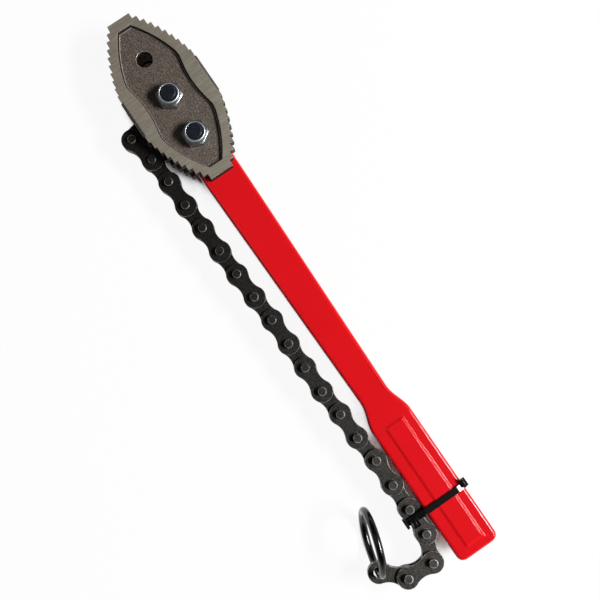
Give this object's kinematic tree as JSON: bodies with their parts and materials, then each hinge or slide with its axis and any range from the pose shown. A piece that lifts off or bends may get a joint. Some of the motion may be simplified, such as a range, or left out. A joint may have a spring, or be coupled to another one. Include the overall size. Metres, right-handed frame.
{
  "type": "chain pipe wrench",
  "caption": "Flat-handled chain pipe wrench with toothed jaw plates bolted either side of the handle, a pinned leaf chain, an end ring and a cable tie round the grip.",
  "frame": {"origin": "centre of the open jaw hole, on the middle plane between the jaw plates", "axes": "+X along the handle towards its butt, +Y away from the chain, +Z towards the nut side"},
  "size_m": [0.4205, 0.0996, 0.0468],
  "materials": {
    "handle_paint": "glossy red paint over a forging",
    "jaw_steel": "forged steel with a ground rim",
    "bolt_steel": "blackened steel",
    "zinc_steel": "bright zinc plate",
    "insert_nylon": "dark nylon",
    "chain_steel": "dark oxide, satin",
    "pin_steel": "dark oxide with bright edges",
    "ring_steel": "polished wire",
    "tie_nylon": "black nylon"
  },
  "bodies": {
    "wrench": {"handle": "handle_paint", "front_jaw": "jaw_steel", "back_jaw": "jaw_steel", "pivot_bolt": "bolt_steel", "jaw_bolt": "bolt_steel", "pivot_nut": "zinc_steel", "jaw_nut": "zinc_steel", "nut_inserts": "insert_nylon", "tie_strap": "tie_nylon"},
    "anchor": {"anchor_link": "chain_steel"},
    "link_01": {"outer_link_01": "chain_steel", "link_pins_01": "pin_steel"},
    "link_02": {"inner_link_01": "chain_steel"},
    "link_03": {"outer_link_02": "chain_steel", "link_pins_02": "pin_steel"},
    "link_04": {"inner_link_02": "chain_steel"},
    "link_05": {"outer_link_03": "chain_steel", "link_pins_03": "pin_steel"},
    "link_06": {"inner_link_03": "chain_steel"},
    "link_07": {"outer_link_04": "chain_steel", "link_pins_04": "pin_steel"},
    "link_08": {"inner_link_04": "chain_steel"},
    "link_09": {"outer_link_05": "chain_steel", "link_pins_05": "pin_steel"},
    "link_10": {"inner_link_05": "chain_steel"},
    "link_11": {"outer_link_06": "chain_steel", "link_pins_06": "pin_steel"},
    "link_12": {"inner_link_06": "chain_steel"},
    "link_13": {"outer_link_07": "chain_steel", "link_pins_07": "pin_steel"},
    "link_14": {"inner_link_07": "chain_steel"},
    "link_15": {"outer_link_08": "chain_steel", "link_pins_08": "pin_steel"},
    "link_16": {"inner_link_08": "chain_steel"},
    "link_17": {"outer_link_09": "chain_steel", "link_pins_09": "pin_steel", "tie_head": "tie_nylon"},
    "link_18": {"inner_link_09": "chain_steel"},
    "link_19": {"outer_link_10": "chain_steel", "link_pins_10": "pin_steel"},
    "link_20": {"inner_link_10": "chain_steel"},
    "ring": {"end_ring": "ring_steel"}
  },
  "joints": [
    {"name": "anchor_pivot", "type": "hinge", "parent": "wrench", "child": "anchor", "pos_m": [0.0306, 0, 0], "axis": [0, 0, -1], "range_deg": [0, 120]},
    {"name": "pin_01", "type": "hinge", "parent": "anchor", "child": "link_01", "pos_m": [0.03806, -0.03665, 0], "axis": [0, 0, -1], "range_deg": [0, 55]},
    {"name": "pin_02", "type": "hinge", "parent": "link_01", "child": "link_02", "pos_m": [0.05676, -0.03301, 0], "axis": [0, 0, -1], "range_deg": [0, 16]},
    {"name": "pin_03", "type": "hinge", "parent": "link_02", "child": "link_03", "pos_m": [0.07579, -0.03224, 0], "axis": [0, 0, -1], "range_deg": [0, 16]},
    {"name": "pin_04", "type": "hinge", "parent": "link_03", "child": "link_04", "pos_m": [0.09484, -0.03179, 0], "axis": [0, 0, -1], "range_deg": [0, 16]},
    {"name": "pin_05", "type": "hinge", "parent": "link_04", "child": "link_05", "pos_m": [0.11387, -0.03101, 0], "axis": [0, 0, -1], "range_deg": [0, 16]},
    {"name": "pin_06", "type": "hinge", "parent": "link_05", "child": "link_06", "pos_m": [0.1329, -0.03023, 0], "axis": [0, 0, -1], "range_deg": [0, 16]},
    {"name": "pin_07", "type": "hinge", "parent": "link_06", "child": "link_07", "pos_m": [0.15194, -0.02946, 0], "axis": [0, 0, -1], "range_deg": [0, 16]},
    {"name": "pin_08", "type": "hinge", "parent": "link_07", "child": "link_08", "pos_m": [0.17096, -0.02835, 0], "axis": [0, 0, -1], "range_deg": [0, 16]},
    {"name": "pin_09", "type": "hinge", "parent": "link_08", "child": "link_09", "pos_m": [0.18997, -0.02724, 0], "axis": [0, 0, -1], "range_deg": [0, 16]},
    {"name": "pin_10", "type": "hinge", "parent": "link_09", "child": "link_10", "pos_m": [0.20902, -0.02712, 0], "axis": [0, 0, -1], "range_deg": [0, 16]},
    {"name": "pin_11", "type": "hinge", "parent": "link_10", "child": "link_11", "pos_m": [0.22807, -0.02701, 0], "axis": [0, 0, -1], "range_deg": [0, 16]},
    {"name": "pin_12", "type": "hinge", "parent": "link_11", "child": "link_12", "pos_m": [0.24712, -0.02656, 0], "axis": [0, 0, -1], "range_deg": [0, 16]},
    {"name": "pin_13", "type": "hinge", "parent": "link_12", "child": "link_13", "pos_m": [0.26611, -0.02512, 0], "axis": [0, 0, -1], "range_deg": [0, 16]},
    {"name": "pin_14", "type": "hinge", "parent": "link_13", "child": "link_14", "pos_m": [0.28516, -0.02468, 0], "axis": [0, 0, -1], "range_deg": [0, 16]},
    {"name": "pin_15", "type": "hinge", "parent": "link_14", "child": "link_15", "pos_m": [0.30412, -0.0229, 0], "axis": [0, 0, -1], "range_deg": [0, 16]},
    {"name": "pin_16", "type": "hinge", "parent": "link_15", "child": "link_16", "pos_m": [0.32317, -0.0229, 0], "axis": [0, 0, -1], "range_deg": [0, 16]},
    {"name": "pin_17", "type": "hinge", "parent": "link_16", "child": "link_17", "pos_m": [0.34222, -0.0229, 0], "axis": [0, 0, -1], "range_deg": [0, 16]},
    {"name": "pin_18", "type": "hinge", "parent": "link_17", "child": "link_18", "pos_m": [0.36127, -0.0229, 0], "axis": [0, 0, 1], "range_deg": [0, 20]},
    {"name": "pin_19", "type": "hinge", "parent": "link_18", "child": "link_19", "pos_m": [0.37906, -0.02973, 0], "axis": [0, 0, 1], "range_deg": [0, 70]},
    {"name": "pin_20", "type": "hinge", "parent": "link_19", "child": "link_20", "pos_m": [0.37806, -0.04875, 0], "axis": [0, 0, 1], "range_deg": [0, 40]},
    {"name": "ring_swing", "type": "hinge", "parent": "link_20", "child": "ring", "pos_m": [0.36483, -0.06246, 0], "axis": [0, 0, 1], "range_deg": [0, 150]}
  ]
}
